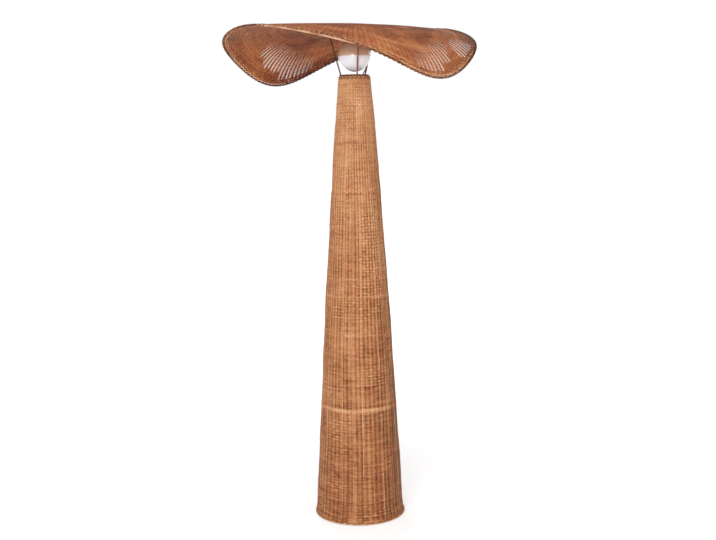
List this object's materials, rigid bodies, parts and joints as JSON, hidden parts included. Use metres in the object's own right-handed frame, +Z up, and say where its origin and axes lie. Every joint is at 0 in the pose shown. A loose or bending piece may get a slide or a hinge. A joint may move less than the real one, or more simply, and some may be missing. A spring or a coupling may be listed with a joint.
{
  "type": "floor lamp",
  "caption": "Woven rattan floor lamp: a tapered column on a steel weight, thin stalks, a wavy hat-shaped shade that lifts off and a globe bulb that screws out.",
  "frame": {"origin": "centre of the underside of the base pad, on the floor", "axes": "+Z up along the column, -Y towards the viewer of the picture, +X to the viewer's right"},
  "size_m": [0.727, 0.726, 1.4643],
  "materials": {
    "rattan": "woven peeled rattan, satin",
    "rattan_dark": "plaited rattan, darker, satin",
    "rattan_pale": "split rattan wrap, pale, satin",
    "dark_steel_wire": "dark brown lacquered wire",
    "steel_plate": "black painted plate",
    "zinc_plated_steel": "zinc plated",
    "felt": "pressed felt",
    "black_plastic": "moulded, matt",
    "brown_lead": "round sheathed lead",
    "ceramic": "glazed",
    "brass": "stamped",
    "opal_glass": "opal white, glossy",
    "white_plastic": "moulded, satin"
  },
  "bodies": {
    "root": {"base_pad": "felt", "ballast_plate": "steel_plate", "lug_screw_1": "zinc_plated_steel", "lug_screw_2": "zinc_plated_steel", "lug_screw_3": "zinc_plated_steel", "column_frame": "dark_steel_wire", "column_weave": "rattan", "foot_border": "rattan_dark", "top_binding": "rattan_dark", "top_ring": "dark_steel_wire", "stalk_front": "dark_steel_wire", "stalk_right": "dark_steel_wire", "stalk_left": "dark_steel_wire", "cord_gland": "black_plastic", "gland_nut": "black_plastic", "terminal_box": "black_plastic", "terminal_lid": "black_plastic", "column_lead": "brown_lead", "lead_tie_1": "black_plastic", "lead_tie_2": "black_plastic", "lead_tie_3": "black_plastic", "lead_tie_4": "black_plastic", "stalk_tie": "black_plastic", "lead_socket": "black_plastic"},
    "head": {"head_frame": "dark_steel_wire", "lampholder_cap": "black_plastic", "lampholder_skirt": "black_plastic", "lampholder_core": "ceramic", "lampholder_contact": "brass", "lampholder_thread": "brass", "clamp_ring": "black_plastic", "upper_lead": "brown_lead", "lead_plug": "black_plastic", "shade_weave": "rattan", "shade_rim": "rattan_pale", "crown_disc": "rattan"},
    "bulb_screw": {"bulb_cap": "zinc_plated_steel", "bulb_insulator": "black_plastic", "bulb_contact": "brass"},
    "bulb": {"bulb_globe": "opal_glass", "bulb_collar": "white_plastic", "led_board": "white_plastic", "led_driver": "black_plastic"}
  },
  "joints": [
    {"name": "head_lift", "type": "slide", "parent": "root", "child": "head", "axis": [0, 0, 1], "range_m": [0, 0.15]},
    {"name": "bulb_travel", "type": "slide", "parent": "head", "child": "bulb_screw", "axis": [0, 0, -1], "range_m": [0, 0.01815]},
    {"name": "bulb_turn", "type": "hinge", "parent": "bulb_screw", "child": "bulb", "pos_m": [0, 0, 1.3665], "axis": [0, 0, -1], "range_deg": [0, 1800]}
  ],
  "couplings": [
    {"joint": "bulb_travel", "follows": "bulb_turn", "m_per_rad": 0.00057757}
  ]
}
